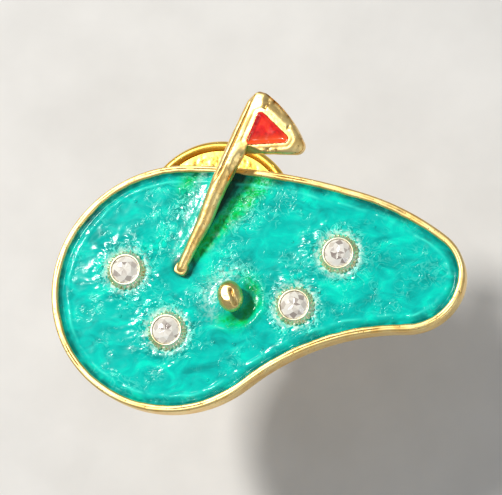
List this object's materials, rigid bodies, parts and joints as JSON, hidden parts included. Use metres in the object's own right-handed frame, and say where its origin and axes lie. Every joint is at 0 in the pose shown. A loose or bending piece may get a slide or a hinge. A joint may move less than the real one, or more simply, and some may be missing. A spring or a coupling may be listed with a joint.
{
  "type": "golf ball marker",
  "caption": "Lapel-pin golf ball marker: enamelled gilt green with flag, ball and set stones, on a nail post with a sliding butterfly clutch.",
  "frame": {"origin": "where the nail post's axis meets the back face of the plate", "axes": "+Z out of the decorated face, +Y towards the flag, +X towards the narrow end of the green; the post points along -Z"},
  "size_m": [0.0298, 0.0227, 0.0141],
  "materials": {
    "gilt_casting": "polished gold plate over a casting, slightly pitted",
    "milled_gilt": "milled edge, pale gold plate",
    "plated_post": "drawn and plated",
    "clutch_brass": "stamped sheet, bright",
    "spring_bronze": "rolled phosphor bronze",
    "green_enamel": "glossy cold enamel, rippled",
    "red_enamel": "glossy cold enamel",
    "clear_crystal": "faceted, foil-backed"
  },
  "bodies": {
    "marker": {"base_plate": "gilt_casting", "green_enamel": "green_enamel", "flagpole": "gilt_casting", "flag_frame": "gilt_casting", "flag_enamel": "red_enamel", "golf_ball": "gilt_casting", "bezel_upper_left": "milled_gilt", "bezel_lower_left": "milled_gilt", "bezel_upper_right": "milled_gilt", "bezel_lower_right": "milled_gilt", "crystal_upper_left": "clear_crystal", "crystal_lower_left": "clear_crystal", "crystal_upper_right": "clear_crystal", "crystal_lower_right": "clear_crystal", "pin_post": "plated_post"},
    "clutch": {"clutch_face": "clutch_brass", "clutch_back": "clutch_brass", "leaf_spring": "spring_bronze"},
    "left_wing": {"wing_left": "clutch_brass"},
    "right_wing": {"wing_right": "clutch_brass"}
  },
  "joints": [
    {"name": "clutch_slide", "type": "slide", "parent": "marker", "child": "clutch", "axis": [0, 0, -1], "range_m": [-0.002, 0.012]},
    {"name": "wing_squeeze", "type": "hinge", "parent": "clutch", "child": "right_wing", "pos_m": [0.0023, 0, -0.0041], "axis": [0, 1, 0], "range_deg": [0, 15], "stiffness_Nm_per_rad": 0.002, "springref_deg": -5.73, "deforming": ["leaf_spring"]},
    {"name": "left_wing_squeeze", "type": "hinge", "parent": "clutch", "child": "left_wing", "pos_m": [-0.0023, 0, -0.0041], "axis": [0, 1, 0], "range_deg": [-15, 0], "stiffness_Nm_per_rad": 0.002, "springref_deg": 5.73}
  ],
  "couplings": [
    {"joint": "left_wing_squeeze", "follows": "wing_squeeze", "ratio": -1}
  ]
}
